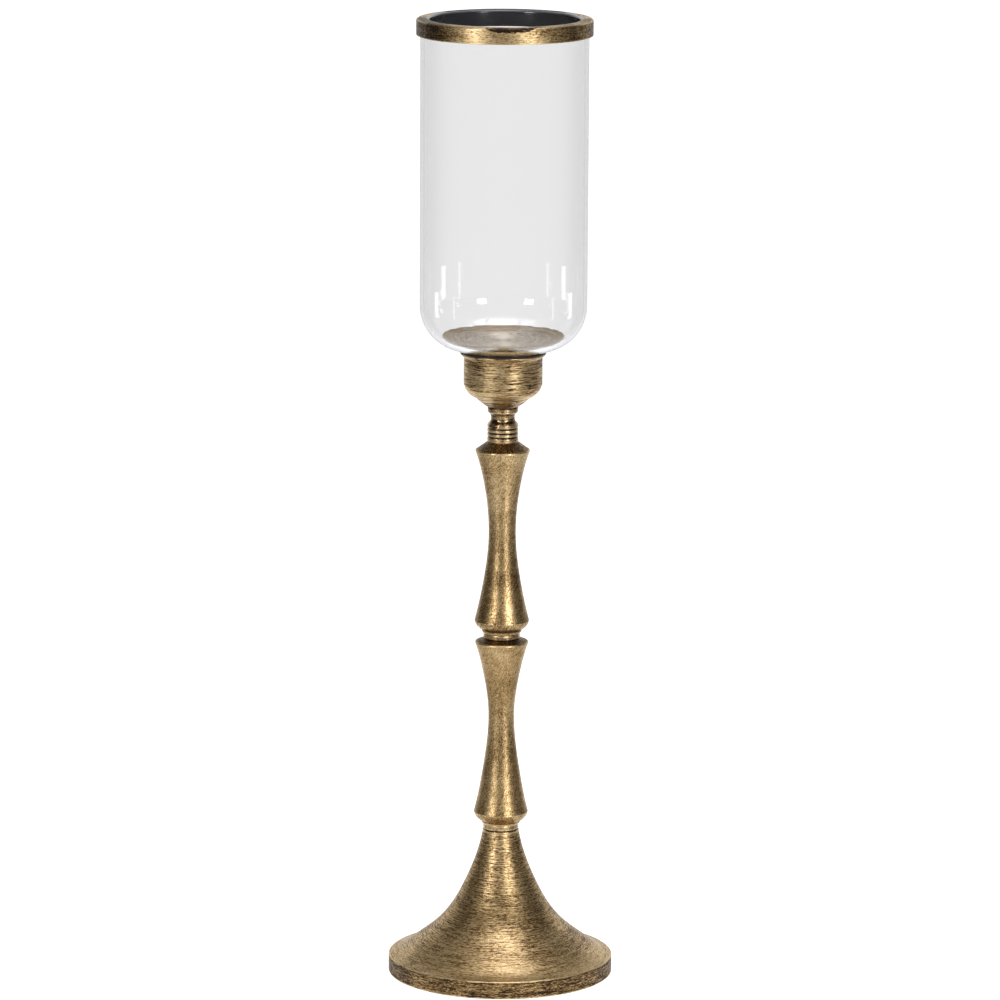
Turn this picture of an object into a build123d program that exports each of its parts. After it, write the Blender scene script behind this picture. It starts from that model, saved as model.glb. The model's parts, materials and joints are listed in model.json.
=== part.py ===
from build123d import *
import math
import os

# Pillar candle holder with a glass hurricane shade. Millimetres, +Z up, axis on Z, z = 0 is the table.
# The stem is a stack of turned and cast pieces clamped between the foot and the cup by one tie rod.
# The candle dish's stud goes through the glass and screws into the long nut in the cup.

# Heights of the joints between the stacked pieces
FELT_Z = 1.2
BELL_TOP_Z = 90.1
FOOT_COLLAR_TOP_Z = 95.4
LOWER_TOP_Z = 213.4
MIDDLE_COLLAR_TOP_Z = 217.3
UPPER_TOP_Z = 337.9
RIDGED_TOP_Z = 349.0
NECK_TOP_Z = 359.8
CUP_LIP_Z = 393.5
GASKET_TOP_Z = 395.2
HOLDER_TOP_Z = 600.0

# Foot
FOOT_R = 70.0
RIM_LOW_Z = 0.4
RIM_WALL_TOP_Z = 11.3
RIM_EDGE_R = 69.3
RIM_EDGE_DROP = 0.5
FELT_R = 66.5
FELT_RECESS_R = 66.7
BELL_NECK_R = 11.4
BELL_CEILING_Z = 70.0
BELL_CEILING_R = 12.6
BELL_MOUTH_R = 65.5
BELL_MOUTH_TOP_Z = 5.4

# Stem
STEM_BORE_R = 4.25
COLLAR_ROUND = 0.5
MIDDLE_COLLAR_ROUND = 1.2
GROOVE_R = 0.6
GROOVE_STANDOFF = 0.1

# Balusters: the neck's bevel, how the belly curls under, and the rounded edge of the flare
BALUSTER_NECK_BEVEL = 0.6
BELLY_CURL_IN = 1.0
BELLY_CURL_DOWN = 2.5
FLARE_EDGE_IN = 0.7
FLARE_EDGE_UP = 1.5
FLARE_EDGE_BULGE = 0.05

# M8 fastenings; threads are plain cylinders
THREAD_R = 4.0
THREAD_GAP = 0.05
ROD_LOW_Z = 55.0
ROD_HIGH_Z = 379.5
ROD_CHAMFER = 0.7
HEX_FLATS = 13.0
HEX_BEVEL = 0.6
NUT_HEIGHT = 6.5
LOCK_HEIGHT = 2.0
LOCK_R = 7.4
LOCK_GAP = 1.2
WASHER_HEIGHT = 1.6
WASHER_R = 8.0
WASHER_HOLE_R = 4.2
COUPLING_HEIGHT = 24.0

# Cup and gasket
CUP_R = 24.3
CUP_LIP_R = 26.4
CUP_WALL = 2.3
CUP_FLOOR_Z = 366.4
CUP_FLOOR_R = 14.0
CUP_INNER_WALL_Z = 375.0
CUP_INNER_CORNER = 4.0
CUP_LIP_EDGE = 0.9
GASKET_R = 27.0
GASKET_HOLE_R = 19.0
GASKET_ROUND = 0.6

# Glass
GLASS_R = 51.6
GLASS_WALL = 2.6
GLASS_TOP_Z = 597.0
GLASS_CORNER_R = 27.5
GLASS_HOLE_R = 6.0
GLASS_RIM_ROUND = 0.8

# Candle dish, its stud and its shoulder washer
DISH_R = 38.0
DISH_SHEET = 1.2
DISH_FLAT_R = 11.0
DISH_RISE = 3.8
DISH_RIM_SLOPE = 0.26
DISH_ROUND = 0.4
STUD_LOW_Z = 382.5
BUSH_FLANGE = 0.8
BUSH_R = 10.0
BUSH_SPIGOT_R = 5.8
BUSH_SPIGOT_DEPTH = 2.4
BUSH_HOLE_R = 4.1

# Rim ring and its liner
RING_LOW_Z = 589.7
RING_R = 54.1
RING_HOLE_R = 46.0
RING_SHEET = 1.0
RING_CORNER = 1.3
RING_CROWN = 0.5
RING_FOOT_ROUND = 0.3
LINER_DEPTH = 7.5


def at(r, z):
    """A point of a half section: radius and height."""
    return Vector(r, 0, z)


def polyline(points):
    """Straight edges through a list of (r, z) points."""
    return [Line(at(*a), at(*b)) for a, b in zip(points, points[1:])]


def turned(edges):
    """The solid swept by a closed half section turned about Z."""
    return revolve(make_face(Curve() + edges), Axis.Z, 360)


def ring_edges(solid, rings):
    """The circular edges of a turned solid at the given (r, z) places."""
    found = []
    for r, z in rings:
        for edge in solid.edges().filter_by(GeomType.CIRCLE):
            if abs(edge.radius - r) < 0.01 and abs(edge.arc_center.Z - z) < 0.01:
                found.append(edge)
    return found


def tube(r_out, r_in, z_low, z_high):
    """A plain ring."""
    return turned(polyline([(r_in, z_low), (r_out, z_low), (r_out, z_high), (r_in, z_high), (r_in, z_low)]))


def hex_nut(z_low, height):
    """A hex nut on the axis, its corners turned down at both ends."""
    prism = Pos(0, 0, z_low) * extrude(RegularPolygon(HEX_FLATS / 2, 6, major_radius=False), height)
    corner_r = HEX_FLATS / math.sqrt(3)
    blank = Pos(0, 0, z_low + height / 2) * Cylinder(corner_r, height)
    blank = chamfer(blank.edges().filter_by(GeomType.CIRCLE), HEX_BEVEL)
    bore = Pos(0, 0, z_low + height / 2) * Cylinder(THREAD_R + THREAD_GAP, height)
    return prism & blank - bore


def threaded_bar(z_low, z_high):
    """A threaded bar drawn as a plain cylinder with bevelled ends."""
    bar = Pos(0, 0, (z_low + z_high) / 2) * Cylinder(THREAD_R, z_high - z_low)
    return chamfer(bar.edges().filter_by(GeomType.CIRCLE), ROD_CHAMFER)


def make_felt_pad():
    return Pos(0, 0, FELT_Z / 2) * Cylinder(FELT_R, FELT_Z)


def make_base_bell():
    """
    Hollow cast trumpet with a vertical rim wall and a shallow recess for the felt pad under it; the boss at its top
    is the rod's seat.
    """
    flare_end = (RIM_EDGE_R, RIM_WALL_TOP_Z)
    mouth_top = (BELL_MOUTH_R, BELL_MOUTH_TOP_Z)
    wall_top = (FOOT_R, RIM_WALL_TOP_Z - RIM_EDGE_DROP)
    flare = Spline(
        [at(BELL_NECK_R, BELL_TOP_Z), at(21.3, 60.0), at(38.2, 33.0), at(58.0, 16.9), at(*flare_end)],
        tangents=[Vector(0.17, 0, -1), Vector(1, 0, -0.21)],
    )
    inner = Spline(
        [at(*mouth_top), at(56.0, 11.6), at(35.6, 29.0), at(BELL_CEILING_R, BELL_CEILING_Z)],
        tangents=[Vector(-1, 0, 0.35), Vector(-0.26, 0, 1)],
    )
    edges = [flare]
    edges += polyline([flare_end, wall_top, (FOOT_R, RIM_LOW_Z), (FELT_RECESS_R, RIM_LOW_Z)])
    edges += polyline([(FELT_RECESS_R, RIM_LOW_Z), (FELT_RECESS_R, FELT_Z), (BELL_MOUTH_R, FELT_Z), mouth_top])
    edges += [inner]
    edges += polyline([(BELL_CEILING_R, BELL_CEILING_Z), (STEM_BORE_R, BELL_CEILING_Z)])
    edges += polyline([(STEM_BORE_R, BELL_CEILING_Z), (STEM_BORE_R, BELL_TOP_Z), (BELL_NECK_R, BELL_TOP_Z)])
    bell = turned(edges)
    return fillet(ring_edges(bell, [(FOOT_R, RIM_LOW_Z)]), COLLAR_ROUND)


def make_foot_collar():
    """Short ring with a bead round its lower edge."""
    body_r = 11.0
    bead_r = 11.5
    bead_height = 1.3
    bead_bulge = 0.5
    groove_height = 0.3
    body_low_z = BELL_TOP_Z + bead_height + 0.8
    bead_low = (bead_r - bead_bulge, BELL_TOP_Z)
    bead_high = (bead_r - bead_bulge, BELL_TOP_Z + bead_height)
    groove = (body_r - bead_bulge, BELL_TOP_Z + bead_height + groove_height)
    edges = polyline([(STEM_BORE_R, BELL_TOP_Z), bead_low])
    edges += [ThreePointArc(at(*bead_low), at(bead_r, BELL_TOP_Z + bead_height / 2), at(*bead_high))]
    edges += polyline([bead_high, groove, (body_r, body_low_z), (body_r, FOOT_COLLAR_TOP_Z)])
    edges += polyline([(body_r, FOOT_COLLAR_TOP_Z), (STEM_BORE_R, FOOT_COLLAR_TOP_Z)])
    edges += polyline([(STEM_BORE_R, FOOT_COLLAR_TOP_Z), (STEM_BORE_R, BELL_TOP_Z)])
    collar = turned(edges)
    return fillet(ring_edges(collar, [(body_r, FOOT_COLLAR_TOP_Z)]), COLLAR_ROUND)


def baluster(z_low, z_high, low_neck, low_belly, waist, low_mid, high_mid, shoulder, seat_r):
    """
    A waisted casting. From the bottom: a short neck, a belly that curls in under itself, a waist, then a
    flare to a rounded edge and a shallow cone up to the flat seat for the next piece.
    """
    neck_r, neck_z = low_neck
    belly_r, belly_z = low_belly
    waist_r, waist_z = waist
    edge_r, edge_z = shoulder
    curl_middle = at(belly_r - BELLY_CURL_IN, belly_z - BELLY_CURL_DOWN)
    curl = ThreePointArc(at(neck_r, neck_z), curl_middle, at(belly_r, belly_z))
    side_low = Spline(
        [at(belly_r, belly_z), at(*low_mid), at(waist_r, waist_z)],
        tangents=[Vector(-0.27, 0, 1), Vector(0, 0, 1)],
    )
    side_high = Spline(
        [at(waist_r, waist_z), at(*high_mid), at(edge_r, edge_z)],
        tangents=[Vector(0, 0, 1), Vector(0.36, 0, 1)],
    )
    rim = (edge_r - FLARE_EDGE_IN, edge_z + FLARE_EDGE_UP)
    edge_middle = at(edge_r + FLARE_EDGE_BULGE, edge_z + 0.63 * FLARE_EDGE_UP)
    edges = polyline([(STEM_BORE_R, z_low), (neck_r - BALUSTER_NECK_BEVEL, z_low), (neck_r, neck_z)])
    edges += [curl, side_low, side_high]
    edges += [ThreePointArc(at(edge_r, edge_z), edge_middle, at(*rim))]
    edges += polyline([rim, (seat_r, z_high), (STEM_BORE_R, z_high), (STEM_BORE_R, z_low)])
    return turned(edges)


def make_lower_baluster():
    return baluster(
        FOOT_COLLAR_TOP_Z,
        LOWER_TOP_Z,
        low_neck=(12.4, 97.1),
        low_belly=(16.95, 102.8),
        waist=(8.0, 164.0),
        low_mid=(11.0, 133.0),
        high_mid=(11.1, 190.0),
        shoulder=(16.45, 210.4),
        seat_r=11.9,
    )


def make_upper_baluster():
    return baluster(
        MIDDLE_COLLAR_TOP_Z,
        UPPER_TOP_Z,
        low_neck=(12.6, 219.3),
        low_belly=(17.0, 224.9),
        waist=(8.4, 281.2),
        low_mid=(11.3, 251.5),
        high_mid=(11.05, 309.5),
        shoulder=(16.7, 331.6),
        seat_r=9.4,
    )


def make_middle_collar():
    collar_r = 11.4
    collar = tube(collar_r, STEM_BORE_R, LOWER_TOP_Z, MIDDLE_COLLAR_TOP_Z)
    ends = ring_edges(collar, [(collar_r, LOWER_TOP_Z), (collar_r, MIDDLE_COLLAR_TOP_Z)])
    return fillet(ends, MIDDLE_COLLAR_ROUND)


def make_ridged_collar():
    """Plain lower ring, then ridges between turned grooves, then a plain upper ring."""
    collar_r = 9.6
    first_groove_z = UPPER_TOP_Z + 3.1
    ridge_pitch = 2.7
    groove_count = 3
    collar = tube(collar_r, STEM_BORE_R, UPPER_TOP_Z, RIDGED_TOP_Z)
    collar = fillet(ring_edges(collar, [(collar_r, UPPER_TOP_Z), (collar_r, RIDGED_TOP_Z)]), COLLAR_ROUND)
    for i in range(groove_count):
        z = first_groove_z + i * ridge_pitch
        collar -= Pos(0, 0, z) * Torus(collar_r + GROOVE_STANDOFF, GROOVE_R)
    return collar


def make_neck_spool():
    """A coved waist under a square bead."""
    foot_r = 9.1
    waist_r = 7.35
    bead_r = 9.4
    foot_top = (foot_r, RIDGED_TOP_Z + 0.4)
    waist = (waist_r, RIDGED_TOP_Z + 4.1)
    cove_top = (bead_r - 0.8, NECK_TOP_Z - 3.9)
    bead_low = (bead_r, NECK_TOP_Z - 3.4)
    bead_high = (bead_r, NECK_TOP_Z)
    cove = Spline([at(*foot_top), at(*waist), at(*cove_top)], tangents=[Vector(-1, 0, 0.6), Vector(1, 0, 0.7)])
    edges = polyline([(STEM_BORE_R, RIDGED_TOP_Z), (foot_r, RIDGED_TOP_Z), foot_top])
    edges += [cove]
    edges += polyline([cove_top, bead_low, bead_high, (STEM_BORE_R, NECK_TOP_Z), (STEM_BORE_R, RIDGED_TOP_Z)])
    spool = turned(edges)
    return fillet(ring_edges(spool, [bead_low, bead_high]), COLLAR_ROUND)


def make_cup():
    """A small cup: stepped cone below, straight wall, flared lip."""
    cone_low = (9.7, NECK_TOP_Z)
    cone_high = (16.8, 365.4)
    step_inner = (16.8, 365.9)
    step_outer = (17.7, 365.9)
    wall_low = (CUP_R, 374.2)
    wall_high = (CUP_R, 389.6)
    lip_low = (CUP_LIP_R, CUP_LIP_Z - CUP_LIP_EDGE)
    inner_r = CUP_R - CUP_WALL
    inner_low = (inner_r, CUP_INNER_WALL_Z)
    cone = ThreePointArc(at(*cone_low), at(13.6, 362.6), at(*cone_high))
    shoulder = ThreePointArc(at(*step_outer), at(22.4, 369.7), at(*wall_low))
    flare = Spline([at(*wall_high), at(*lip_low)], tangents=[Vector(0, 0, 1), Vector(1, 0, 0.8)])
    edges = [cone]
    edges += polyline([cone_high, step_inner, step_outer])
    edges += [shoulder]
    edges += polyline([wall_low, wall_high])
    edges += [flare]
    edges += polyline([lip_low, (CUP_LIP_R, CUP_LIP_Z), (inner_r, CUP_LIP_Z), inner_low])
    edges += polyline([inner_low, (CUP_FLOOR_R, CUP_FLOOR_Z), (STEM_BORE_R, CUP_FLOOR_Z)])
    edges += polyline([(STEM_BORE_R, CUP_FLOOR_Z), (STEM_BORE_R, NECK_TOP_Z), cone_low])
    cup = turned(edges)
    return fillet(ring_edges(cup, [inner_low]), CUP_INNER_CORNER)


def make_cup_gasket():
    gasket = tube(GASKET_R, GASKET_HOLE_R, CUP_LIP_Z, GASKET_TOP_Z)
    return fillet(ring_edges(gasket, [(GASKET_R, CUP_LIP_Z), (GASKET_R, GASKET_TOP_Z)]), GASKET_ROUND)


def make_glass_shade():
    """Straight glass cylinder with a round-cornered bottom, open at the top, drilled at the centre."""
    bottom_z = GASKET_TOP_Z
    floor_z = bottom_z + GLASS_WALL
    centre_r = GLASS_R - GLASS_CORNER_R
    centre_z = bottom_z + GLASS_CORNER_R
    inner_r = GLASS_R - GLASS_WALL
    inner_corner = GLASS_CORNER_R - GLASS_WALL
    diagonal = math.sqrt(0.5)
    outer_corner = ThreePointArc(
        at(centre_r, bottom_z),
        at(centre_r + GLASS_CORNER_R * diagonal, centre_z - GLASS_CORNER_R * diagonal),
        at(GLASS_R, centre_z),
    )
    inner_arc = ThreePointArc(
        at(inner_r, centre_z),
        at(centre_r + inner_corner * diagonal, centre_z - inner_corner * diagonal),
        at(centre_r, floor_z),
    )
    edges = polyline([(GLASS_HOLE_R, bottom_z), (centre_r, bottom_z)])
    edges += [outer_corner]
    edges += polyline([(GLASS_R, centre_z), (GLASS_R, GLASS_TOP_Z)])
    edges += polyline([(GLASS_R, GLASS_TOP_Z), (inner_r, GLASS_TOP_Z), (inner_r, centre_z)])
    edges += [inner_arc]
    edges += polyline([(centre_r, floor_z), (GLASS_HOLE_R, floor_z), (GLASS_HOLE_R, bottom_z)])
    glass = turned(edges)
    return fillet(ring_edges(glass, [(GLASS_R, GLASS_TOP_Z), (inner_r, GLASS_TOP_Z)]), GLASS_RIM_ROUND)


def dish_seat_z():
    """The underside of the dish: on the bush's flange, which lies on the glass floor."""
    return GASKET_TOP_Z + GLASS_WALL + BUSH_FLANGE


def make_candle_dish():
    """Shallow pressed dish: a flat centre, then a curve up to the rim."""
    low = dish_seat_z()
    high = low + DISH_SHEET
    under = Spline(
        [at(DISH_FLAT_R, low), at(DISH_R, low + DISH_RISE)],
        tangents=[Vector(1, 0, 0), Vector(1, 0, DISH_RIM_SLOPE)],
    )
    over = Spline(
        [at(DISH_R, high + DISH_RISE), at(DISH_FLAT_R, high)],
        tangents=[Vector(-1, 0, -DISH_RIM_SLOPE), Vector(-1, 0, 0)],
    )
    edges = polyline([(0, low), (DISH_FLAT_R, low)])
    edges += [under]
    edges += polyline([(DISH_R, low + DISH_RISE), (DISH_R, high + DISH_RISE)])
    edges += [over]
    edges += polyline([(DISH_FLAT_R, high), (0, high), (0, low)])
    dish = turned(edges)
    return fillet(ring_edges(dish, [(DISH_R, low + DISH_RISE), (DISH_R, high + DISH_RISE)]), DISH_ROUND)


def make_dish_bush():
    """Shoulder washer: a flange under the dish and a spigot that centres the stud in the glass."""
    top = dish_seat_z()
    shoulder = top - BUSH_FLANGE
    low = shoulder - BUSH_SPIGOT_DEPTH
    flange = [(BUSH_HOLE_R, top), (BUSH_R, top), (BUSH_R, shoulder)]
    spigot = [(BUSH_SPIGOT_R, shoulder), (BUSH_SPIGOT_R, low), (BUSH_HOLE_R, low)]
    return turned(polyline(flange + spigot + flange[:1]))


def make_rim_ring():
    """Channel of sheet metal, open downwards, with a slightly crowned top."""
    middle_r = (RING_R + RING_HOLE_R) / 2
    side_z = HOLDER_TOP_Z - RING_CROWN
    roof_z = side_z - RING_SHEET
    outer_r = RING_R - RING_SHEET
    inner_r = RING_HOLE_R + RING_SHEET
    edges = polyline([(RING_HOLE_R, RING_LOW_Z), (RING_HOLE_R, side_z)])
    edges += [ThreePointArc(at(RING_HOLE_R, side_z), at(middle_r, HOLDER_TOP_Z), at(RING_R, side_z))]
    edges += polyline([(RING_R, side_z), (RING_R, RING_LOW_Z), (outer_r, RING_LOW_Z), (outer_r, roof_z)])
    edges += polyline([(outer_r, roof_z), (inner_r, roof_z), (inner_r, RING_LOW_Z), (RING_HOLE_R, RING_LOW_Z)])
    ring = turned(edges)
    ring = fillet(ring_edges(ring, [(RING_R, side_z), (RING_HOLE_R, side_z)]), RING_CORNER)
    return fillet(ring_edges(ring, [(RING_R, RING_LOW_Z), (RING_HOLE_R, RING_LOW_Z)]), RING_FOOT_ROUND)


def make_rim_liner():
    """Soft strip filling the channel round the glass's edge."""
    top = HOLDER_TOP_Z - RING_CROWN - RING_SHEET
    low = top - LINER_DEPTH
    inner_r = RING_HOLE_R + RING_SHEET
    outer_r = RING_R - RING_SHEET
    glass_inner_r = GLASS_R - GLASS_WALL
    liner = tube(outer_r, inner_r, low, top)
    return liner - tube(GLASS_R, glass_inner_r, low, GLASS_TOP_Z)


def make_rod_washer():
    return tube(WASHER_R, WASHER_HOLE_R, BELL_CEILING_Z - WASHER_HEIGHT, BELL_CEILING_Z)


def make_rod_lock_washer():
    """Spring washer: a ring with one cut through it."""
    top = BELL_CEILING_Z - WASHER_HEIGHT
    ring = tube(LOCK_R, WASHER_HOLE_R, top - LOCK_HEIGHT, top)
    cut = Pos(LOCK_R, 0, top - LOCK_HEIGHT / 2) * Box(2 * (LOCK_R - THREAD_R) + 2, LOCK_GAP, 2 * LOCK_HEIGHT)
    return ring - cut


def make_rod_nut():
    top = BELL_CEILING_Z - WASHER_HEIGHT - LOCK_HEIGHT
    return hex_nut(top - NUT_HEIGHT, NUT_HEIGHT)


def make_cup_washer():
    return tube(WASHER_R, WASHER_HOLE_R, CUP_FLOOR_Z, CUP_FLOOR_Z + WASHER_HEIGHT)


def make_coupling_nut():
    return hex_nut(CUP_FLOOR_Z + WASHER_HEIGHT, COUPLING_HEIGHT)


PIECES = {
    "felt_pad": make_felt_pad,
    "base_bell": make_base_bell,
    "foot_collar": make_foot_collar,
    "lower_baluster": make_lower_baluster,
    "middle_collar": make_middle_collar,
    "upper_baluster": make_upper_baluster,
    "ridged_collar": make_ridged_collar,
    "neck_spool": make_neck_spool,
    "cup": make_cup,
    "cup_gasket": make_cup_gasket,
    "tie_rod": lambda: threaded_bar(ROD_LOW_Z, ROD_HIGH_Z),
    "rod_nut": make_rod_nut,
    "rod_lock_washer": make_rod_lock_washer,
    "rod_washer": make_rod_washer,
    "cup_washer": make_cup_washer,
    "coupling_nut": make_coupling_nut,
    "glass_shade": make_glass_shade,
    "rim_ring": make_rim_ring,
    "rim_liner": make_rim_liner,
    "dish_bush": make_dish_bush,
    "candle_dish": make_candle_dish,
    "dish_stud": lambda: threaded_bar(STUD_LOW_Z, dish_seat_z()),
}

os.makedirs("parts", exist_ok=True)
for name, make in PIECES.items():
    export_step(make(), f"parts/{name}.step")
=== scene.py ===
"""Looks for a pillar candle holder: antique brushed gold over a dark base coat, clear glass, grey metal dish.

Every piece but the threaded fixings is turned about Z, so its CAD node's half section is read from the mesh,
refined, and turned again with many more segments. Convex edges and grooves are found on that section and stored
on the new mesh, where the finish uses them for wear and for dark paint. Metres throughout.
"""

import json
import math

import bmesh
import bpy
import numpy as np
from mathutils import Matrix, Vector


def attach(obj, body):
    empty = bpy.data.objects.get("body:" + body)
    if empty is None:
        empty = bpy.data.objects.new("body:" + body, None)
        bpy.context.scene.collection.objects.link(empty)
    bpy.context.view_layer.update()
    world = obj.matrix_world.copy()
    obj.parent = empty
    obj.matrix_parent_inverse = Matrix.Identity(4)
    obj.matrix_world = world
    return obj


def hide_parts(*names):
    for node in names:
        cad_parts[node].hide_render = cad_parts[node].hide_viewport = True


# Section refinement: the sharpest turn that is still smooth, the step along the section, the first step next to a
# corner, how far corners are eased, the reach of the edge and hollow measures, and the radius taken as the axis
CORNER_TURN = math.radians(14)
SECTION_STEP = 0.00055
CORNER_STEP = 0.00012
CORNER_ROUND = 0.00022
EDGE_SPREAD = 0.0006
HOLLOW_SPREAD = 0.0022
AXIS_REACH = 1e-6

# Camera: how far in front of the axis, how high and how far to the side it is, its tilt down, its roll and its lens
CAMERA_DISTANCE = 3.512
CAMERA_HEIGHT = 0.9936
CAMERA_SIDE = -0.0015
CAMERA_PITCH = math.radians(11.16)
CAMERA_ROLL = math.radians(0.30)
CAMERA_LENS = 208.2

# Floor: its radius, its own colour, the glow that makes it white to the eye, and in reflections the glow of the
# part behind the holder and of the part close round it
FLOOR_RADIUS = 40
FLOOR_COLOUR = (0.62, 0.62, 0.62, 1)
FLOOR_GLOW = 1.0
FLOOR_BEHIND = 0.62
FLOOR_NEAR = 0.34

# World: the colour the eye sees behind the holder, and in reflections the brightness of the dim room, of the part
# of it on the camera's side, of the pale wall behind the holder and of the ceiling
BACKDROP = (1.0, 1.0, 1.0, 1)
ROOM_DIM = 0.035
ROOM_FRONT = 0.12
ROOM_BACK = 0.95
ROOM_CEILING = 0.28

# Gold finish: from the bare dark coat to fully rubbed gold, linear colours
GOLD_STOPS = (
    (0.00, (0.026, 0.014, 0.009, 1)),
    (0.20, (0.068, 0.037, 0.017, 1)),
    (0.42, (0.245, 0.150, 0.056, 1)),
    (0.66, (0.530, 0.350, 0.146, 1)),
    (1.00, (0.880, 0.665, 0.350, 1)),
)
GLASS_COLOUR = (0.963, 0.963, 0.963, 1)
# The lighter grey along the top of the ring's black inner wall is a painted highlight.
INNER_EDGE_HIGHLIGHT = (0.120, 0.115, 0.112, 1)
BLACK_GLOSS = (0.028, 0.028, 0.029, 1)

# Noise in the gold finish, cycles per metre. The brush marks run round the piece, so they are coarse round it and
# fine along its section; grain and lumps are the cast surface's, and the last is the broad uneven rubbing's
LONG_MARKS_ROUND = 85
LONG_MARKS_ALONG = 2000
SHORT_MARKS_ROUND = 480
SHORT_MARKS_ALONG = 2500
GRAIN_SCALE = 1550
LUMP_SCALE = 480
RUBBING_SCALE = 52

# The slanting strokes on the balusters: how fast they climb round, radians per metre, and their fineness round the
# piece, across a half turn, and up it, cycles per metre
STROKE_TWIST = 50
STROKE_ROUND = 20
STROKE_UP = 340

# Relief: the depth of the gold's marks, and the pitch of the M8 threads
MARK_DEPTH = 0.00016
THREAD_PITCH = 0.00125

# The ring: its top, the radius within which it is black, how much further out the black reaches over the crown at
# the back only, which is painted shade, the bare spot on its front (the sines of its middle's angle and half width,
# its top and its depth), and the sines of the angles between which its front is darkened to the sides, painted
# shade
RING_TOP = 0.600
RING_BLACK_R = 0.0474
BACK_CROWN_SHADE = 0.0050
PATCH_SIDE = 0.065
PATCH_WIDTH = 0.27
PATCH_TOP = 0.5997
PATCH_DEPTH = 0.0028
SIDE_SHADE_FROM = 0.55
SIDE_SHADE_FULL = 0.80

# Heights on the stand: the top of the foot's wall, the band under the cup's lip, the foot of the cup's cone, and
# each baluster's flare edge and top
WALL_TOP = 0.0110
CUP_BAND_LOW = 0.3835
CUP_BAND_HIGH = 0.3875
CONE_LOW = 0.3615
CONE_HIGH = 0.3665
BALUSTER_SHOULDERS = ((0.2104, 0.2135), (0.3316, 0.3380))

# The neck: the joints below and above its spool, and the dark blotch on its front (the sines of its middle's angle
# and half width, its height and its half height)
SPOOL_LOW = 0.3496
SPOOL_HIGH = 0.3595
BLOTCH_SIDE = -0.60
BLOTCH_WIDTH = 0.30
BLOTCH_Z = 0.3494
BLOTCH_HEIGHT = 0.0027

# Heights the lights face: the two large softboxes, the low panels, the overhead one and the glass's strips
BOX_AIM = 0.42
PANEL_AIM = 0.152
OVERHEAD_AIM = 0.35
STRIP_AIM = 0.315

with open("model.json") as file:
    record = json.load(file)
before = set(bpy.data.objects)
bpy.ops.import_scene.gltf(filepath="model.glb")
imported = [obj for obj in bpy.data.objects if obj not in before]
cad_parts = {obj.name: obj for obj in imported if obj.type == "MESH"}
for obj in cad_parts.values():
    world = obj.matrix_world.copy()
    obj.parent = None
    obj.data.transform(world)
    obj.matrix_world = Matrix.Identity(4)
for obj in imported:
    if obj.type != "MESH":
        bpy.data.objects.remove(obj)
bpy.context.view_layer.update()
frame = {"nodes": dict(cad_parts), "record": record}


# ---------------------------------------------------------------- turned meshes


def half_section(node):
    """
    The (r, z) points of a turned CAD node along its seam, in order, and whether they close into a loop. A flat
    disc has no seam, so a section that ends at a disc's edge is carried on to the axis.
    """
    bm = bmesh.new()
    bm.from_mesh(frame["nodes"][node].data)
    bmesh.ops.remove_doubles(bm, verts=bm.verts, dist=1e-7)
    on_seam = {v for v in bm.verts if abs(v.co.y) < 2e-7 and v.co.x > -1e-7}
    links = {}
    for edge in bm.edges:
        a, b = edge.verts
        if a in on_seam and b in on_seam:
            links.setdefault(a, []).append(b)
            links.setdefault(b, []).append(a)
    ends = [v for v, near in links.items() if len(near) == 1]
    start = ends[0] if ends else next(iter(links))
    path = [start]
    before = None
    while True:
        onward = [v for v in links[path[-1]] if v is not before and (v is start or v not in path)]
        if not onward or onward[0] is start:
            break
        before = path[-1]
        path.append(onward[0])
    points = [(v.co.x, v.co.z) for v in path]
    bm.free()
    if ends and points[0][0] > AXIS_REACH:
        points.insert(0, (0, points[0][1]))
    if ends and points[-1][0] > AXIS_REACH:
        points.append((0, points[-1][1]))
    return np.array(points), not ends


def refined(points, closed):
    """The section in short steps: smooth stretches follow cubic curves, corners stay and get close points."""
    if closed:
        points = np.vstack([points, points[:1]])
    lengths = np.linalg.norm(np.diff(points, axis=0), axis=1)
    points = points[np.r_[True, lengths > 1e-7]]
    steps = np.diff(points, axis=0)
    lengths = np.linalg.norm(steps, axis=1)
    heading = steps / lengths[:, None]
    count = len(steps)
    start_tangent = heading.copy()
    end_tangent = heading.copy()
    for i in range(count if closed else count - 1):
        j = (i + 1) % count
        turn = math.acos(max(-1.0, min(1.0, float(heading[i] @ heading[j]))))
        if turn < CORNER_TURN:
            mean = heading[i] * lengths[i] + heading[j] * lengths[j]
            mean /= np.linalg.norm(mean)
            end_tangent[i] = mean
            start_tangent[j] = mean
    fine = []
    for i in range(count):
        p, q, h = points[i], points[i + 1], lengths[i]
        even = np.linspace(0, 1, max(1, math.ceil(h / SECTION_STEP)), endpoint=False)
        near = [k * CORNER_STEP / h for k in (1, 2, 4) if k * CORNER_STEP < h / 2]
        t = np.unique(np.round(np.r_[even, near, [1 - s for s in near]], 6))[:, None]
        a, b = start_tangent[i] * h, end_tangent[i] * h
        fine.append(
            p * (2 * t**3 - 3 * t**2 + 1) + a * (t**3 - 2 * t**2 + t)
            + q * (3 * t**2 - 2 * t**3) + b * (t**3 - t**2)
        )
    if not closed:
        fine.append(points[-1:])
    return np.vstack(fine)


def softened(points, closed):
    """The section with its sharp corners eased by about CORNER_ROUND."""
    eased = points.copy()
    for _ in range(3):
        left, right = np.roll(eased, 1, axis=0), np.roll(eased, -1, axis=0)
        span = np.linalg.norm(left - right, axis=1)
        ease = np.clip(CORNER_ROUND * 3 / np.maximum(span, 1e-9), 0, 0.5)[:, None]
        moved = eased * (1 - ease) + (left + right) / 2 * ease
        if not closed:
            moved[[0, -1]] = eased[[0, -1]]
        eased = moved
    return eased


def anticlockwise(points):
    """The section's points in the order that puts the material on the left."""
    r, z = points.T
    area = np.sum(r * np.roll(z, -1) - z * np.roll(r, -1))
    return points if area > 0 else points[::-1]


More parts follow.
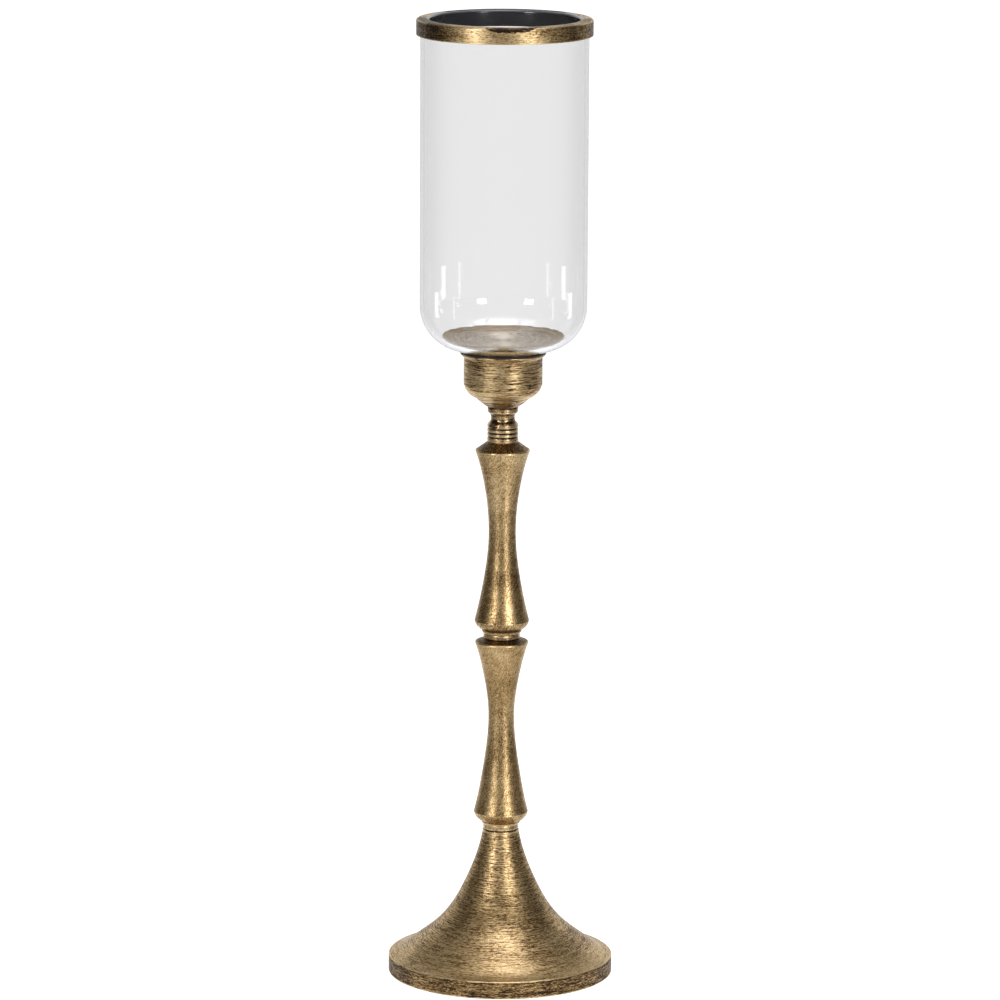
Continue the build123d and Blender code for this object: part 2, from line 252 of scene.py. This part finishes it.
def distances(points):
    """Each point's distance along the section."""
    return np.r_[0, np.cumsum(np.linalg.norm(np.diff(points, axis=0), axis=1))]


def bends(points, closed, spread):
    """How far the section turns near each point, in radians within about spread: + on edges, - in grooves."""
    before, after = (points[-1:], points[:1]) if closed else (points[:1], points[-1:])
    around = np.vstack([before, points, after])
    steps = np.diff(around, axis=0)
    angle = np.arctan2(steps[:, 1], steps[:, 0])
    turn = (np.diff(angle) + math.pi) % (2 * math.pi) - math.pi
    if not closed:
        turn[[0, -1]] = 0
    along = distances(points)
    gap = np.abs(along[:, None] - along[None, :])
    if closed:
        gap = np.minimum(gap, along[-1] + np.linalg.norm(points[0] - points[-1]) - gap)
    return np.exp(-((gap / spread) ** 2)) @ turn


def lathe(name, points, closed, segments, layers):
    """A mesh of a section turned about Z, with a float layer on its points for each of layers."""
    at_axis = points[:, 0] < AXIS_REACH
    sizes = np.where(at_axis, 1, segments)
    firsts = np.r_[0, np.cumsum(sizes)[:-1]]
    angles = 2 * math.pi * np.arange(segments) / segments
    rings = []
    for (r, z), pole in zip(points, at_axis):
        turn = angles[:1] if pole else angles
        radius = 0 if pole else r
        rings.append(np.column_stack([radius * np.cos(turn), radius * np.sin(turn), np.full(len(turn), z)]))
    k = np.arange(segments)
    after = (k + 1) % segments
    faces = []
    for i in range(len(points) if closed else len(points) - 1):
        j = (i + 1) % len(points)
        low, high = firsts[i], firsts[j]
        if at_axis[i] and at_axis[j]:
            continue
        if at_axis[i]:
            faces += np.column_stack([np.full(segments, low), high + after, high + k]).tolist()
        elif at_axis[j]:
            faces += np.column_stack([low + k, low + after, np.full(segments, high)]).tolist()
        else:
            faces += np.column_stack([low + k, low + after, high + after, high + k]).tolist()
    mesh = bpy.data.meshes.new(name)
    mesh.from_pydata(np.vstack(rings), [], faces)
    for layer, values in layers.items():
        mesh.attributes.new(layer, "FLOAT", "POINT").data.foreach_set("value", np.repeat(values, sizes))
    mesh.shade_smooth()
    return mesh


def turned(node, segments):
    """A fine lathe mesh that stands for a CAD node and rides on its body."""
    points, closed = half_section(node)
    points = anticlockwise(softened(refined(points, closed), closed))
    layers = {
        "along": distances(points),
        "edge": bends(points, closed, EDGE_SPREAD),
        "hollow": bends(points, closed, HOLLOW_SPREAD),
    }
    piece = bpy.data.objects.new(node + "_turned", lathe(node + "_turned", points, closed, segments, layers))
    bpy.context.scene.collection.objects.link(piece)
    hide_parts(node)
    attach(piece, body_name(node))
    return piece


def body_name(node):
    """The body that holds a CAD node."""
    for body, members in frame["record"]["behaviour"]["bodies"].items():
        if node in members:
            return body
    raise KeyError(node)


# ---------------------------------------------------------------- material helpers


class Finish:
    """A material's node tree, built by short calls that return sockets."""

    def __init__(self, name):
        self.material = bpy.data.materials.new(name)
        self.material.use_nodes = True
        self.tree = self.material.node_tree
        self.tree.nodes.clear()
        self.output = self.tree.nodes.new("ShaderNodeOutputMaterial")

    def put(self, socket, value):
        if isinstance(value, bpy.types.NodeSocket):
            self.tree.links.new(value, socket)
        elif value is not None:
            socket.default_value = value

    def node(self, kind, inputs=(), **settings):
        made = self.tree.nodes.new(kind)
        for key, value in settings.items():
            setattr(made, key, value)
        for key, value in dict(inputs).items():
            self.put(made.inputs[key], value)
        return made

    def math(self, operation, a, b=None):
        made = self.node("ShaderNodeMath", operation=operation)
        for socket, value in zip(made.inputs, (a, b)):
            self.put(socket, value)
        return made.outputs[0]

    def add(self, a, b):
        return self.math("ADD", a, b)

    def less(self, a, b):
        return self.math("SUBTRACT", a, b)

    def scaled(self, value, factor):
        return self.math("MULTIPLY", value, factor)

    def squared(self, value):
        return self.math("MULTIPLY", value, value)

    def near(self, value, middle, far, close, strength):
        """strength where value is within close of middle, 0 where it is further than far."""
        return self.span(self.math("ABSOLUTE", self.less(value, middle)), far, close, 0.0, strength)

    def below(self, value, limit):
        """1 where value is less than limit, else 0."""
        return self.math("LESS_THAN", value, limit)

    def blend(self, amount, a, b):
        """A number between a and b."""
        return self.add(self.scaled(a, self.less(1.0, amount)), self.scaled(amount, b))

    def ramp(self, value, stops):
        """A colour for value, from (place, colour) stops."""
        made = self.node("ShaderNodeValToRGB", {"Fac": value})
        band = made.color_ramp.elements
        band[0].position, band[0].color = stops[0]
        band[1].position, band[1].color = stops[-1]
        for place, colour in stops[1:-1]:
            band.new(place).color = colour
        return made.outputs[0]

    def mix(self, amount, a, b):
        """A colour between a and b. Sockets 0, 6 and 7 are the factor and the two colours."""
        made = self.node("ShaderNodeMix", data_type="RGBA")
        self.put(made.inputs[0], amount)
        self.put(made.inputs[6], a)
        self.put(made.inputs[7], b)
        return made.outputs[2]

    def span(self, value, low, high, to_low=0.0, to_high=1.0):
        """value from low..high to to_low..to_high, held at the ends."""
        made = self.node("ShaderNodeMapRange", interpolation_type="SMOOTHSTEP")
        for socket, item in zip(made.inputs, (value, low, high, to_low, to_high)):
            self.put(socket, item)
        return made.outputs[0]

    def vector(self, x, y, z):
        return self.node("ShaderNodeCombineXYZ", {"X": x, "Y": y, "Z": z}).outputs[0]

    def noise(self, vector, scale=1.0, detail=2.0, rough=0.5, distortion=0.0):
        inputs = {"Vector": vector, "Scale": scale, "Detail": detail, "Roughness": rough, "Distortion": distortion}
        return self.node("ShaderNodeTexNoise", inputs).outputs["Fac"]

    def bump(self, height, distance, strength):
        inputs = {"Height": height, "Distance": distance, "Strength": strength}
        return self.node("ShaderNodeBump", inputs).outputs[0]

    def attribute(self, name):
        return self.node("ShaderNodeAttribute", attribute_name=name).outputs["Fac"]

    def point(self):
        """The point on the piece, in metres."""
        return self.node("ShaderNodeTexCoord").outputs["Object"]

    def place(self):
        """The point on the piece, in metres, as x, y, z and radius."""
        x, y, z = self.node("ShaderNodeSeparateXYZ", {"Vector": self.point()}).outputs
        r = self.math("SQRT", self.add(self.squared(x), self.squared(y)))
        return x, y, z, r

    def surface(self, **inputs):
        """A Principled surface with these inputs, as the material's output."""
        made = self.node("ShaderNodeBsdfPrincipled")
        for key, value in inputs.items():
            self.put(made.inputs[key.replace("_", " ")], value)
        self.tree.links.new(made.outputs[0], self.output.inputs["Surface"])


def paint(piece, material):
    """Gives a piece one material."""
    piece.data.materials.clear()
    piece.data.materials.append(material)


# ---------------------------------------------------------------- finishes


def antique_gold(name, marks, contrast, black_within=None, bare=None, faded=None, **amounts):
    """
    Gold rubbed by hand over a dark brown coat. marks holds the weights of the long and the short brush marks that
    run round the piece, of the cast surface's grain and of the slanting strokes on it; contrast is how hard the
    rubbing caught the high spots. Surfaces nearer the axis than black_within keep a black gloss coat; at the back
    that black is carried further out over the crown as painted shade, and a lighter grey along the top of the inner
    wall is a painted highlight. bare(f, x, y, z, r) gives how far the gold is taken back towards the coat,
    where the rag left the coat showing and where shade is painted, a negative value painting a highlight;
    faded(f, x, y, z, r) gives how strong the marks are.
    amounts may change cover, patchy, worn and sunk: the gold left on the whole, and how much broad patches, edges
    and grooves change it; rough, the gold's own roughness; and coat, the weight of its clear lacquer.
    """
    long_marks, short_marks, grains, strokes = marks
    amount = {"cover": 0.6, "patchy": 1.1, "worn": 0.42, "sunk": 0.42, "rough": 0.36, "coat": 0.08} | amounts
    f = Finish(name)
    x, y, z, r = f.place()
    point = f.point()
    along = f.attribute("along")
    long_noise = f.noise(brush_marks(f, x, y, along, LONG_MARKS_ROUND, LONG_MARKS_ALONG), detail=1)
    short_noise = f.noise(brush_marks(f, x, y, along, SHORT_MARKS_ROUND, SHORT_MARKS_ALONG), detail=1)
    grain = f.noise(point, scale=GRAIN_SCALE, detail=1, rough=0.55)
    lumps = f.noise(point, scale=LUMP_SCALE, detail=1)
    patches = f.noise(point, scale=RUBBING_SCALE, distortion=0.4)
    cast = f.add(f.scaled(grain, 0.82), f.scaled(lumps, 0.18))
    height = f.add(f.scaled(long_noise, long_marks), f.scaled(short_noise, short_marks))
    height = f.add(height, f.scaled(cast, grains))
    if strokes:
        height = f.add(height, f.scaled(slanting_strokes(f, x, y, z, r), strokes))
    wear = f.span(f.attribute("edge"), 0.20, 0.85)
    groove = f.span(f.attribute("edge"), -0.12, -0.60)
    hollow = f.span(f.attribute("hollow"), -0.25, -1.3)
    level = f.scaled(f.less(height, 0.5 * sum(marks)), contrast)
    if faded:
        level = f.math("MULTIPLY", level, faded(f, x, y, z, r))
    level = f.add(level, f.scaled(f.less(patches, 0.5), amount["patchy"]))
    level = f.add(f.add(level, amount["cover"]), f.scaled(wear, amount["worn"]))
    level = f.less(f.less(level, f.scaled(groove, amount["sunk"])), f.scaled(hollow, 0.18))
    if bare:
        level = f.less(level, f.scaled(bare(f, x, y, z, r), 1.2))
    colour = f.ramp(level, GOLD_STOPS)
    metal = f.span(level, 0.05, 0.30, 0.6, 1.0)
    rough = f.span(level, 0.05, 0.9, amount["rough"] + 0.10, amount["rough"])
    coat = amount["coat"]
    gloss = f.span(level, 0.05, 0.35, 0.15, 0.5)
    if black_within:
        # At the back the black is carried further out over the crown: painted shade.
        far = f.span(f.math("DIVIDE", y, r), 0.30, 0.70)
        past = f.less(r, f.add(f.scaled(far, BACK_CROWN_SHADE), black_within))
        inside = f.span(past, 0.0004, -0.0004)
        crown = f.scaled(f.span(r, black_within, black_within + 0.0006), far)
        # Painted highlight: lip lightens a band along the top of the inner wall.
        lip = f.scaled(f.span(z, RING_TOP - 0.0014, RING_TOP - 0.0006), f.less(1.0, crown))
        colour = f.mix(inside, colour, f.mix(lip, BLACK_GLOSS, INNER_EDGE_HIGHLIGHT))
        metal = f.scaled(f.less(1.0, inside), metal)
        rough = f.blend(inside, rough, 0.15)
        coat = f.blend(inside, coat, 0.0)
        gloss = f.blend(inside, gloss, f.scaled(f.blend(lip, 0.55, 1.0), f.less(1.0, crown)))
    f.surface(
        Base_Color=colour, Metallic=metal, Roughness=rough, Specular_IOR_Level=gloss, Coat_Weight=coat,
        Coat_Roughness=0.22, Normal=f.bump(height, MARK_DEPTH, 0.6),
    )
    return f.material


def brush_marks(f, x, y, along, rounds, alongs):
    """Where noise is read for marks that run round a piece: rounds and alongs are cycles per metre."""
    return f.vector(f.scaled(x, rounds), f.scaled(y, rounds), f.scaled(along, alongs))


def slanting_strokes(f, x, y, z, r):
    """Fine marks that climb round a piece, rising to the right, as a rag drawn up the stem leaves them."""
    side = f.vector(f.math("DIVIDE", x, r), f.math("DIVIDE", y, r), 0.0)
    twist = {"Vector": side, "Angle": f.scaled(z, -STROKE_TWIST)}
    turned_back = f.node("ShaderNodeVectorRotate", twist, rotation_type="Z_AXIS").outputs[0]
    cx, cy, _ = f.node("ShaderNodeSeparateXYZ", {"Vector": turned_back}).outputs
    return f.noise(brush_marks(f, cx, cy, z, STROKE_ROUND, STROKE_UP), detail=1)


def bare_spot_and_side_shade(f, x, y, z, r):
    """Where the ring kept the dark coat, a ragged spot on its front's upper edge; and painted shade that darkens
    its front's gold towards both sides.
    """
    side = f.math("DIVIDE", x, r)
    turn = f.scaled(f.add(side, -PATCH_SIDE), 1 / PATCH_WIDTH)
    drop = f.scaled(f.less(PATCH_TOP, z), 1 / PATCH_DEPTH)
    ragged = f.noise(brush_marks(f, x, y, z, 350, 1500))
    reach = f.add(f.squared(turn), f.squared(drop))
    reach = f.add(reach, f.scaled(f.less(ragged, 0.5), 2.6))
    spot = f.math("MULTIPLY", f.span(reach, 1.30, 0.55), f.span(z, PATCH_TOP + 0.0002, PATCH_TOP - 0.0002))
    # Painted shade: the front's gold darkened towards both sides.
    side_shade_left = f.span(side, -SIDE_SHADE_FROM, -SIDE_SHADE_FULL, 0.0, 0.46)
    side_shade_right = f.span(side, SIDE_SHADE_FROM, SIDE_SHADE_FULL, 0.0, 0.26)
    return f.math("MULTIPLY", f.below(y, 0.0), f.math("MAXIMUM", spot, f.add(side_shade_left, side_shade_right)))


def cup_painted_shade(f, x, y, z, r):
    """Painted shade: the band under the cup's lip and the foot of its cone, both darkened."""
    band = f.span(z, CUP_BAND_LOW, CUP_BAND_HIGH, 0.0, 0.14)
    return f.add(band, f.span(z, CONE_HIGH, CONE_LOW, 0.0, 0.34))


def baluster_shoulders_and_flare_highlight(f, x, y, z, r):
    """The shoulders above the flares, made darker, and the flares, lightened as a painted highlight."""
    shoulders_and_flares = 0.0
    for edge_z, top_z in BALUSTER_SHOULDERS:
        shoulder = f.span(z, edge_z + 0.0008, edge_z + 0.0014, 0.0, 0.25)
        # Painted highlight: each flare is lightened below its edge.
        flare = f.span(z, edge_z - 0.030, edge_z - 0.012, 0.0, 0.07)
        shoulders_and_flares = f.add(shoulders_and_flares, f.math("MULTIPLY", shoulder, f.below(z, top_z)))
        shoulders_and_flares = f.less(shoulders_and_flares, f.math("MULTIPLY", flare, f.below(z, edge_z)))
    return shoulders_and_flares


def grimy_joints(f, x, y, z, r):
    """The dark joints above and below the neck's spool, and the dark blotch on its front, to the left."""
    lower_joint = f.near(z, SPOOL_LOW, 0.0010, 0.0004, 0.35)
    upper_joint = f.near(z, SPOOL_HIGH, 0.0008, 0.0004, 1.0)
    side = f.scaled(f.less(f.math("DIVIDE", x, r), BLOTCH_SIDE), 1 / BLOTCH_WIDTH)
    rise = f.scaled(f.less(z, BLOTCH_Z), 1 / BLOTCH_HEIGHT)
    reach = f.add(f.squared(side), f.squared(rise))
    blotch = f.math("MULTIPLY", f.span(reach, 1.3, 0.6, 0.0, 0.70), f.below(y, 0.0))
    return f.math("MAXIMUM", f.math("MAXIMUM", lower_joint, upper_joint), blotch)


def smooth_flare(f, x, y, z, r):
    """How strong the grain is on the balusters: fainter on the flare of the lower one."""
    return f.math("MAXIMUM", f.span(z, 0.155, 0.182, 1.0, 0.70), f.below(BALUSTER_SHOULDERS[0][1], z))


def foot_wall_shade_and_rim_highlight(f, x, y, z, r):
    """The foot's upright wall, darkened as painted shade, the dark line along its top, and the rim above, lightened
    as a painted highlight.
    """
    # Painted highlight on the rim, painted shade on the wall.
    rim = f.span(r, 0.052, 0.062, 0.0, -0.13)
    wall = f.span(z, WALL_TOP + 0.0003, WALL_TOP - 0.0003, rim, 0.23)
    return f.add(wall, f.near(z, WALL_TOP - 0.0006, 0.0005, 0.0002, 0.32))


def smooth_rim(f, x, y, z, r):
    """How strong the marks are on the foot: full on its slope and wall, fainter on the flat part of its flare."""
    return f.math("MAXIMUM", f.span(r, 0.045, 0.063, 1.0, 0.85), f.span(z, WALL_TOP + 0.0003, WALL_TOP - 0.0003))


def dish_metal():
    """Warm grey metal, brushed round the axis, with fine and broad marks, a few brown ones and a golden rim."""
    f = Finish("dish_metal")
    x, y, _, r = f.place()
    fine = f.noise(brush_marks(f, x, y, r, 60, 1600))
    broad = f.noise(brush_marks(f, x, y, r, 110, 420), detail=3, rough=0.6)
    brown = f.noise(brush_marks(f, x, y, r, 90, 420))
    marks = f.blend(0.35, fine, broad)
    streaky = f.span(r, 0.010, 0.030, 0.35, 1.0)
    marks = f.add(f.math("MULTIPLY", f.less(marks, 0.5), streaky), 0.5)
    colour = f.mix(f.span(marks, 0.34, 0.62), (0.44, 0.35, 0.24, 1), (0.97, 0.86, 0.69, 1))
    brown_mark = f.math("MULTIPLY", f.span(brown, 0.56, 0.70, 0.0, 0.8), f.span(r, 0.012, 0.026))
    colour = f.mix(brown_mark, colour, (0.26, 0.16, 0.07, 1))
    around = f.node("ShaderNodeTangent", direction_type="RADIAL", axis="Z").outputs[0]
    golden = f.math("MULTIPLY", f.span(r, 0.022, 0.034), f.span(brown, 0.35, 0.60, 0.40, 0.90))
    colour = f.mix(golden, colour, (0.52, 0.37, 0.19, 1))
    f.surface(
        Base_Color=colour, Metallic=1.0, Roughness=f.span(marks, 0.3, 0.7, 0.42, 0.30), Anisotropic=0.8,
        Tangent=around, Normal=f.bump(marks, 0.00005, 0.5),
    )
    return f.material


def clear_glass():
    """Polished clear glass with a trace of unevenness."""
    f = Finish("clear_glass")
    wave = f.noise(f.point(), scale=18, detail=1)
    normal = f.bump(wave, 0.00008, 0.15)
    f.surface(Base_Color=GLASS_COLOUR, Roughness=0.0, IOR=1.5, Transmission_Weight=1.0, Normal=normal)
    return f.material


def black_rubber():
    f = Finish("black_rubber")
    grain = f.noise(f.point(), scale=1500)
    colour = f.mix(grain, (0.014, 0.009, 0.006, 1), (0.034, 0.022, 0.014, 1))
    rough = f.span(grain, 0.2, 0.8, 0.38, 0.55)
    f.surface(Base_Color=colour, Roughness=rough, Specular_IOR_Level=0.4, Normal=f.bump(grain, 0.00004, 0.5))
    return f.material


def bright_steel(name, threaded):
    """Bright zinc plate; threaded adds the relief of the M8 threads."""
    f = Finish(name)
    grain = f.noise(f.point(), scale=700, detail=3)
    colour = f.mix(grain, (0.48, 0.49, 0.50, 1), (0.68, 0.69, 0.70, 1))
    if threaded:
        _, _, z, _ = f.place()
        normal = f.bump(f.math("SINE", f.scaled(z, 2 * math.pi / THREAD_PITCH)), 0.0002, 0.6)
    else:
        normal = f.bump(grain, 0.00003, 0.5)
    f.surface(Base_Color=colour, Metallic=1.0, Roughness=f.span(grain, 0.2, 0.8, 0.25, 0.42), Normal=normal)
    return f.material


def brown_fibre():
    f = Finish("brown_fibre")
    fleck = f.noise(f.point(), scale=900, detail=4)
    colour = f.mix(fleck, (0.10, 0.055, 0.028, 1), (0.26, 0.15, 0.08, 1))
    f.surface(Base_Color=colour, Roughness=0.6, Normal=f.bump(fleck, 0.00005, 0.5))
    return f.material


def felt():
    f = Finish("felt")
    fibre = f.noise(f.point(), scale=1400, detail=5, rough=0.7, distortion=1.2)
    mat = f.noise(f.point(), scale=180, detail=3)
    colour = f.mix(fibre, (0.012, 0.009, 0.008, 1), (0.060, 0.046, 0.038, 1))
    colour = f.mix(f.span(mat, 0.3, 0.7, 0.0, 0.5), colour, (0.035, 0.027, 0.022, 1))
    f.surface(Base_Color=colour, Roughness=0.95, Sheen_Weight=0.5, Normal=f.bump(fibre, 0.0003, 0.8))
    return f.material


# ---------------------------------------------------------------- the holder


def build_holder():
    """Gives every piece its mesh and its finish."""
    foot = antique_gold(
        "brushed_gold_foot", (0.34, 0.44, 0.22, 0.0), contrast=4.1, bare=foot_wall_shade_and_rim_highlight, faded=smooth_rim, patchy=0.7,
        rough=0.41,
    )
    cup = antique_gold(
        "brushed_gold_cup", (0.55, 0.28, 0.17, 0.0), contrast=5.4, bare=cup_painted_shade, sunk=0.2, worn=0.2, cover=0.76
    )
    ring = antique_gold(
        "brushed_gold_ring", (0.22, 0.44, 0.34, 0.0), contrast=4.0, black_within=RING_BLACK_R, bare=bare_spot_and_side_shade,
        cover=0.66,
    )
    collar = antique_gold(
        "rubbed_gold", (0.25, 0.30, 0.45, 0.0), contrast=4.4, bare=grimy_joints, cover=0.60, worn=0.55, sunk=0.75,
        rough=0.31, coat=0.5,
    )
    cast = antique_gold(
        "cast_gold", (0.0, 0.08, 0.66, 0.26), contrast=3.0, bare=baluster_shoulders_and_flare_highlight, faded=smooth_flare, patchy=0.8,
        cover=0.62,
    )
    rubber = black_rubber()
    turned_pieces = (
        ("base_bell", 320, foot),
        ("foot_collar", 128, collar),
        ("middle_collar", 128, collar),
        ("ridged_collar", 128, collar),
        ("neck_spool", 128, collar),
        ("lower_baluster", 160, cast),
        ("upper_baluster", 160, cast),
        ("cup", 192, cup),
        ("rim_ring", 320, ring),
        ("cup_gasket", 160, rubber),
        ("rim_liner", 256, rubber),
        ("glass_shade", 320, clear_glass()),
        ("candle_dish", 256, dish_metal()),
        ("dish_bush", 96, brown_fibre()),
        ("felt_pad", 192, felt()),
    )
    for node, segments, finish in turned_pieces:
        paint(turned(node, segments), finish)
    threaded = bright_steel("zinc_steel", threaded=True)
    steel = bright_steel("plain_steel", threaded=False)
    for node in ("tie_rod", "dish_stud"):
        paint(frame["nodes"][node], threaded)
    for node in ("rod_nut", "rod_lock_washer", "rod_washer", "cup_washer", "coupling_nut"):
        paint(frame["nodes"][node], steel)


# ---------------------------------------------------------------- floor, world, lights, camera


def stage_floor():
    """A pale floor: white to the eye and through glass; in reflections pale, with a painted glow behind and near
    the holder.
    """
    mesh = bpy.data.meshes.new("floor")
    bm = bmesh.new()
    bmesh.ops.create_circle(bm, cap_ends=True, radius=FLOOR_RADIUS, segments=96)
    bm.to_mesh(mesh)
    bm.free()
    floor = bpy.data.objects.new("floor", mesh)
    bpy.context.scene.collection.objects.link(floor)
    f = Finish("floor")
    path = f.node("ShaderNodeLightPath").outputs
    _, y, _, r = f.place()
    behind = f.span(f.math("DIVIDE", y, f.math("MAXIMUM", r, 0.001)), 0.42, 0.95, 0.0, FLOOR_BEHIND)
    near = f.span(r, 0.15, 0.80, FLOOR_NEAR, 0.0)
    mirrored = f.math("MULTIPLY", f.add(behind, near), path["Is Glossy Ray"])
    glow = f.add(f.scaled(path["Is Camera Ray"], FLOOR_GLOW), mirrored)
    diffuse = f.node("ShaderNodeBsdfDiffuse", {"Color": FLOOR_COLOUR})
    glow = f.node("ShaderNodeEmission", {"Color": BACKDROP, "Strength": glow})
    lit = f.node("ShaderNodeAddShader")
    f.tree.links.new(diffuse.outputs[0], lit.inputs[0])
    f.tree.links.new(glow.outputs[0], lit.inputs[1])
    through = f.node("ShaderNodeEmission", {"Color": BACKDROP})
    choice = f.node("ShaderNodeMixShader", {"Fac": seen_through(f, path)})
    f.tree.links.new(lit.outputs[0], choice.inputs[1])
    f.tree.links.new(through.outputs[0], choice.inputs[2])
    f.tree.links.new(choice.outputs[0], f.output.inputs["Surface"])
    paint(floor, f.material)


def seen_through(f, path):
    """1 for a ray that has only passed through glass on its way from the eye, else 0."""
    return f.math("MULTIPLY", path["Is Transmission Ray"], f.below(path["Glossy Depth"], 0.5))


def studio_world():
    """White backdrop to the eye; to reflections, a dim room, a pale wall behind and a grey ceiling."""
    world = bpy.data.worlds.new("studio")
    bpy.context.scene.world = world
    world.use_nodes = True
    f = Finish.__new__(Finish)
    f.tree = world.node_tree
    f.tree.nodes.clear()
    output = f.tree.nodes.new("ShaderNodeOutputWorld")
    direction = f.node("ShaderNodeTexCoord").outputs["Generated"]
    _, dy, dz = f.node("ShaderNodeSeparateXYZ", {"Vector": direction}).outputs
    level = f.math("SQRT", f.math("MAXIMUM", f.less(1.0, f.squared(dz)), 0.0001))
    towards = f.scaled(f.math("DIVIDE", dy, level), -1.0)
    front = f.span(towards, 0.70, 0.97, 0.0, ROOM_FRONT)
    back = f.span(towards, -0.42, -0.85, 0.0, ROOM_BACK)
    back = f.math("MULTIPLY", back, f.span(dz, 0.30, 0.60, 1.0, 0.25))
    back = f.math("MULTIPLY", back, f.span(dz, 0.06, 0.24, 0.6, 1.0))
    ceiling = f.span(dz, 0.70, 0.95, 0.0, ROOM_CEILING)
    room = f.add(f.math("MAXIMUM", back, ceiling), f.add(front, ROOM_DIM))
    path = f.node("ShaderNodeLightPath").outputs
    seen = f.math("MAXIMUM", path["Is Camera Ray"], seen_through(f, path))
    shade = f.node("ShaderNodeCombineColor", {"Red": room, "Green": room, "Blue": room}).outputs[0]
    background = f.node("ShaderNodeBackground", {"Color": f.mix(seen, shade, BACKDROP), "Strength": 1.0})
    f.tree.links.new(background.outputs[0], output.inputs["Surface"])


def softbox(name, azimuth, elevation, distance, size, radiance, aim, blue=1.08, shape="RECTANGLE", seen="both"):
    """
    A flat light facing the point at height aim. Azimuth 0 is on the camera's side, positive to its right; size is
    its width and height; radiance is its brightness, with the backdrop at 1, and blue how much bluer than white it
    is. seen is what shows it: the metal, the glass or both.
    """
    a, e = math.radians(azimuth), math.radians(elevation)
    back = Vector((math.sin(a) * math.cos(e), -math.cos(a) * math.cos(e), math.sin(e)))
    data = bpy.data.lights.new(name, "AREA")
    data.shape = shape
    data.size, data.size_y = size
    area = size[0] * size[1] * (math.pi / 4 if shape == "ELLIPSE" else 1)
    data.energy = radiance * math.pi * area
    data.color = (1, 1, blue)
    light = bpy.data.objects.new(name, data)
    light.location = Vector((0, 0, aim)) + back * distance
    light.rotation_mode = "QUATERNION"
    light.rotation_quaternion = back.to_track_quat("Z", "Y")
    light.visible_camera = False
    light.visible_transmission = seen != "metal"
    light.visible_glossy = seen != "glass"
    light.visible_diffuse = seen != "glass"
    bpy.context.scene.collection.objects.link(light)


def lights():
    """
    Two large boxes light the metal from the front, low panels light the foot, an overhead one the tops, and small
    strips close to the holder's sides draw the highlights in the bend of the glass.
    """
    box, panel, strip, thin_strip = (0.46, 0.52), (0.20, 0.30), (0.07, 0.09), (0.03, 0.09)
    softbox("left_box", -39, 12.5, 2.0, box, 13.0, BOX_AIM)
    softbox("right_box", 33, 12.5, 2.0, box, 14.5, BOX_AIM)
    softbox("left_low_panel", -38, 0, 0.55, panel, 0.5, PANEL_AIM, seen="metal")
    softbox("right_low_panel", 34, 0, 0.55, panel, 1.7, PANEL_AIM, seen="metal")
    softbox("overhead", 20, 78, 1.9, (1.6, 1.1), 3.0, OVERHEAD_AIM, blue=1.14, shape="ELLIPSE")
    for side, hand in ((-1, "left"), (1, "right")):
        softbox(hand + "_strip", 104 * side, 0, 0.5, strip, 4.2, STRIP_AIM, seen="glass")
        softbox(hand + "_thin_strip", 71 * side, 0, 0.5, thin_strip, 2.6, STRIP_AIM, seen="glass")


def camera():
    data = bpy.data.cameras.new("camera")
    data.lens = CAMERA_LENS
    data.sensor_width = 36
    eye = bpy.data.objects.new("camera", data)
    eye.location = (CAMERA_SIDE, -CAMERA_DISTANCE, CAMERA_HEIGHT)
    tilt = Matrix.Rotation(math.pi / 2 - CAMERA_PITCH, 4, "X")
    roll = Matrix.Rotation(CAMERA_ROLL, 4, "Z")
    eye.rotation_mode = "QUATERNION"
    eye.rotation_quaternion = (tilt @ roll).to_quaternion()
    bpy.context.scene.collection.objects.link(eye)
    bpy.context.scene.camera = eye


def colour_management():
    view = bpy.context.scene.view_settings
    view.view_transform = "Standard"
    view.look = "None"


build_holder()
stage_floor()
studio_world()
lights()
camera()
colour_management()
